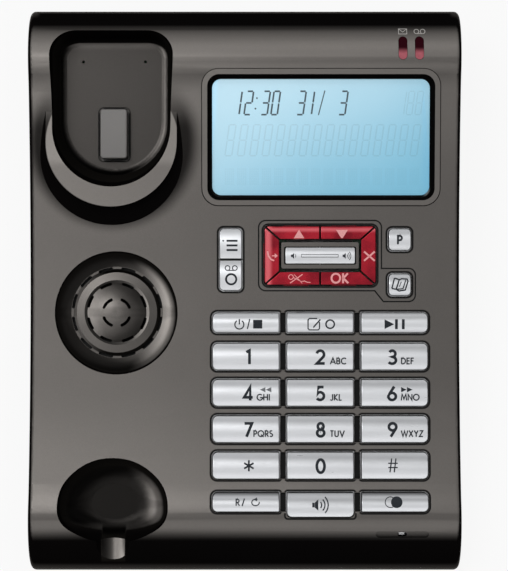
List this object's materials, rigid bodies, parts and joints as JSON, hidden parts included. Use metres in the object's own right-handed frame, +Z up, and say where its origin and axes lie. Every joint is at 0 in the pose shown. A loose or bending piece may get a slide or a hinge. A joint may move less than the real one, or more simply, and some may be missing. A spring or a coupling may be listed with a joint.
{
  "type": "answering machine",
  "caption": "Corded desk telephone base with a built-in answering machine: sloping panel with keys, display, volume rocker, speaker grille and a cradle for the handset.",
  "frame": {"origin": "on the desk under the middle of the body, at the bottom centre of the bounding box", "axes": "+X to the right of a person in front of the keys, +Y to the back, +Z up from the desk"},
  "size_m": [0.1742, 0.2262, 0.0568],
  "materials": {
    "black_rubber": "matt",
    "case_base": "fine texture",
    "case_paint": "warm grey metallic paint, satin",
    "chip_epoxy": "matt",
    "circuit_board": "solder mask",
    "clear_window": "clear, polished",
    "ferrite": "ground ferrite",
    "flat_cable": "polyimide film",
    "hook_plastic": "satin",
    "jack_plastic": "satin",
    "keypad_rubber": "matt silicone",
    "lcd_glass": "polished",
    "led_epoxy": "clear epoxy",
    "microphone_can": "drawn can",
    "red_lens": "clear red, polished",
    "red_plastic": "red metallic paint",
    "silver_plastic": "silver paint, satin",
    "speaker_paper": "pulp cone",
    "speaker_steel": "pressed, plated",
    "spring_steel": "bright wire",
    "steel_screw": "zinc plated",
    "switch_plastic": "satin",
    "white_plastic": "satin"
  },
  "bodies": {
    "base": {"backlight": "white_plastic", "board_chips": "chip_epoxy", "bottom_cover": "case_base", "cover_screws": "steel_screw", "display_bezel": "case_paint", "display_cable": "flat_cable", "display_holder": "white_plastic", "display_window": "clear_window", "feet": "black_rubber", "handset_jack": "jack_plastic", "hook_board": "circuit_board", "hook_spring": "spring_steel", "hook_switch": "switch_plastic", "indicator_lenses": "red_lens", "inner_screws": "steel_screw", "keypad_mat": "keypad_rubber", "lcd_panel": "lcd_glass", "led_board": "circuit_board", "leds": "led_epoxy", "line_jack": "jack_plastic", "main_board": "circuit_board", "microphone": "microphone_can", "microphone_boot": "black_rubber", "power_jack": "jack_plastic", "rear_board": "circuit_board", "speaker_cone": "speaker_paper", "speaker_frame": "speaker_steel", "speaker_magnet": "ferrite", "top_cover": "case_paint", "volume_key_frame": "case_paint"},
    "answer_key": {"answer_key": "red_plastic"},
    "cancel_key": {"cancel_key": "red_plastic"},
    "down_key": {"down_key": "red_plastic"},
    "erase_key": {"erase_key": "red_plastic"},
    "handsfree_key": {"handsfree_key": "silver_plastic"},
    "key_0": {"key_0": "silver_plastic"},
    "key_1": {"key_1": "silver_plastic"},
    "key_2": {"key_2": "silver_plastic"},
    "key_3": {"key_3": "silver_plastic"},
    "key_4": {"key_4": "silver_plastic"},
    "key_5": {"key_5": "silver_plastic"},
    "key_6": {"key_6": "silver_plastic"},
    "key_7": {"key_7": "silver_plastic"},
    "key_8": {"key_8": "silver_plastic"},
    "key_9": {"key_9": "silver_plastic"},
    "key_hash": {"key_hash": "silver_plastic"},
    "key_star": {"key_star": "silver_plastic"},
    "memo_key": {"memo_key": "silver_plastic"},
    "menu_key": {"menu_key": "silver_plastic"},
    "mute_key": {"mute_key": "silver_plastic"},
    "ok_key": {"ok_key": "red_plastic"},
    "phonebook_key": {"phonebook_key": "silver_plastic"},
    "play_key": {"play_key": "silver_plastic"},
    "program_key": {"program_key": "silver_plastic"},
    "recall_key": {"recall_key": "silver_plastic"},
    "stop_key": {"stop_key": "silver_plastic"},
    "tape_key": {"tape_key": "silver_plastic"},
    "up_key": {"up_key": "red_plastic"},
    "hook_button": {"hook_button": "hook_plastic"},
    "volume_rocker": {"volume_rocker": "silver_plastic"}
  },
  "joints": [
    {"name": "answer_key_press", "type": "slide", "parent": "base", "child": "answer_key", "axis": [0, 0.1392, -0.9903], "range_m": [0, 0.0012], "stiffness_N_per_m": 400, "springref_m": -0.0006},
    {"name": "cancel_key_press", "type": "slide", "parent": "base", "child": "cancel_key", "axis": [0, 0.1392, -0.9903], "range_m": [0, 0.0012], "stiffness_N_per_m": 400, "springref_m": -0.0006},
    {"name": "down_key_press", "type": "slide", "parent": "base", "child": "down_key", "axis": [0, 0.1392, -0.9903], "range_m": [0, 0.0012], "stiffness_N_per_m": 400, "springref_m": -0.0006},
    {"name": "erase_key_press", "type": "slide", "parent": "base", "child": "erase_key", "axis": [0, 0.1392, -0.9903], "range_m": [0, 0.0012], "stiffness_N_per_m": 400, "springref_m": -0.0006},
    {"name": "handsfree_key_press", "type": "slide", "parent": "base", "child": "handsfree_key", "axis": [0, 0.1392, -0.9903], "range_m": [0, 0.0012], "stiffness_N_per_m": 400, "springref_m": -0.0006},
    {"name": "key_0_press", "type": "slide", "parent": "base", "child": "key_0", "axis": [0, 0.1392, -0.9903], "range_m": [0, 0.0012], "stiffness_N_per_m": 400, "springref_m": -0.0006},
    {"name": "key_1_press", "type": "slide", "parent": "base", "child": "key_1", "axis": [0, 0.1392, -0.9903], "range_m": [0, 0.0012], "stiffness_N_per_m": 400, "springref_m": -0.0006},
    {"name": "key_2_press", "type": "slide", "parent": "base", "child": "key_2", "axis": [0, 0.1392, -0.9903], "range_m": [0, 0.0012], "stiffness_N_per_m": 400, "springref_m": -0.0006},
    {"name": "key_3_press", "type": "slide", "parent": "base", "child": "key_3", "axis": [0, 0.1392, -0.9903], "range_m": [0, 0.0012], "stiffness_N_per_m": 400, "springref_m": -0.0006},
    {"name": "key_4_press", "type": "slide", "parent": "base", "child": "key_4", "axis": [0, 0.1392, -0.9903], "range_m": [0, 0.0012], "stiffness_N_per_m": 400, "springref_m": -0.0006},
    {"name": "key_5_press", "type": "slide", "parent": "base", "child": "key_5", "axis": [0, 0.1392, -0.9903], "range_m": [0, 0.0012], "stiffness_N_per_m": 400, "springref_m": -0.0006},
    {"name": "key_6_press", "type": "slide", "parent": "base", "child": "key_6", "axis": [0, 0.1392, -0.9903], "range_m": [0, 0.0012], "stiffness_N_per_m": 400, "springref_m": -0.0006},
    {"name": "key_7_press", "type": "slide", "parent": "base", "child": "key_7", "axis": [0, 0.1392, -0.9903], "range_m": [0, 0.0012], "stiffness_N_per_m": 400, "springref_m": -0.0006},
    {"name": "key_8_press", "type": "slide", "parent": "base", "child": "key_8", "axis": [0, 0.1392, -0.9903], "range_m": [0, 0.0012], "stiffness_N_per_m": 400, "springref_m": -0.0006},
    {"name": "key_9_press", "type": "slide", "parent": "base", "child": "key_9", "axis": [0, 0.1392, -0.9903], "range_m": [0, 0.0012], "stiffness_N_per_m": 400, "springref_m": -0.0006},
    {"name": "key_hash_press", "type": "slide", "parent": "base", "child": "key_hash", "axis": [0, 0.1392, -0.9903], "range_m": [0, 0.0012], "stiffness_N_per_m": 400, "springref_m": -0.0006},
    {"name": "key_star_press", "type": "slide", "parent": "base", "child": "key_star", "axis": [0, 0.1392, -0.9903], "range_m": [0, 0.0012], "stiffness_N_per_m": 400, "springref_m": -0.0006},
    {"name": "memo_key_press", "type": "slide", "parent": "base", "child": "memo_key", "axis": [0, 0.1392, -0.9903], "range_m": [0, 0.0012], "stiffness_N_per_m": 400, "springref_m": -0.0006},
    {"name": "menu_key_press", "type": "slide", "parent": "base", "child": "menu_key", "axis": [0, 0.1392, -0.9903], "range_m": [0, 0.0012], "stiffness_N_per_m": 400, "springref_m": -0.0006},
    {"name": "mute_key_press", "type": "slide", "parent": "base", "child": "mute_key", "axis": [0, 0.1392, -0.9903], "range_m": [0, 0.0012], "stiffness_N_per_m": 400, "springref_m": -0.0006},
    {"name": "ok_key_press", "type": "slide", "parent": "base", "child": "ok_key", "axis": [0, 0.1392, -0.9903], "range_m": [0, 0.0012], "stiffness_N_per_m": 400, "springref_m": -0.0006},
    {"name": "phonebook_key_press", "type": "slide", "parent": "base", "child": "phonebook_key", "axis": [0, 0.1392, -0.9903], "range_m": [0, 0.0012], "stiffness_N_per_m": 400, "springref_m": -0.0006},
    {"name": "play_key_press", "type": "slide", "parent": "base", "child": "play_key", "axis": [0, 0.1392, -0.9903], "range_m": [0, 0.0012], "stiffness_N_per_m": 400, "springref_m": -0.0006},
    {"name": "program_key_press", "type": "slide", "parent": "base", "child": "program_key", "axis": [0, 0.1392, -0.9903], "range_m": [0, 0.0012], "stiffness_N_per_m": 400, "springref_m": -0.0006},
    {"name": "recall_key_press", "type": "slide", "parent": "base", "child": "recall_key", "axis": [0, 0.1392, -0.9903], "range_m": [0, 0.0012], "stiffness_N_per_m": 400, "springref_m": -0.0006},
    {"name": "stop_key_press", "type": "slide", "parent": "base", "child": "stop_key", "axis": [0, 0.1392, -0.9903], "range_m": [0, 0.0012], "stiffness_N_per_m": 400, "springref_m": -0.0006},
    {"name": "tape_key_press", "type": "slide", "parent": "base", "child": "tape_key", "axis": [0, 0.1392, -0.9903], "range_m": [0, 0.0012], "stiffness_N_per_m": 400, "springref_m": -0.0006},
    {"name": "up_key_press", "type": "slide", "parent": "base", "child": "up_key", "axis": [0, 0.1392, -0.9903], "range_m": [0, 0.0012], "stiffness_N_per_m": 400, "springref_m": -0.0006},
    {"name": "hook_button_press", "type": "slide", "parent": "base", "child": "hook_button", "axis": [0, 0.1392, -0.9903], "range_m": [0, 0.0045], "stiffness_N_per_m": 220, "springref_m": -0.002, "deforming": ["hook_spring"]},
    {"name": "volume_rocker_tilt", "type": "hinge", "parent": "base", "child": "volume_rocker", "pos_m": [0.0302, 0.012, 0.03756], "axis": [0, 0.9903, 0.1392], "range_deg": [-4, 4], "stiffness_Nm_per_rad": 0.08}
  ]
}
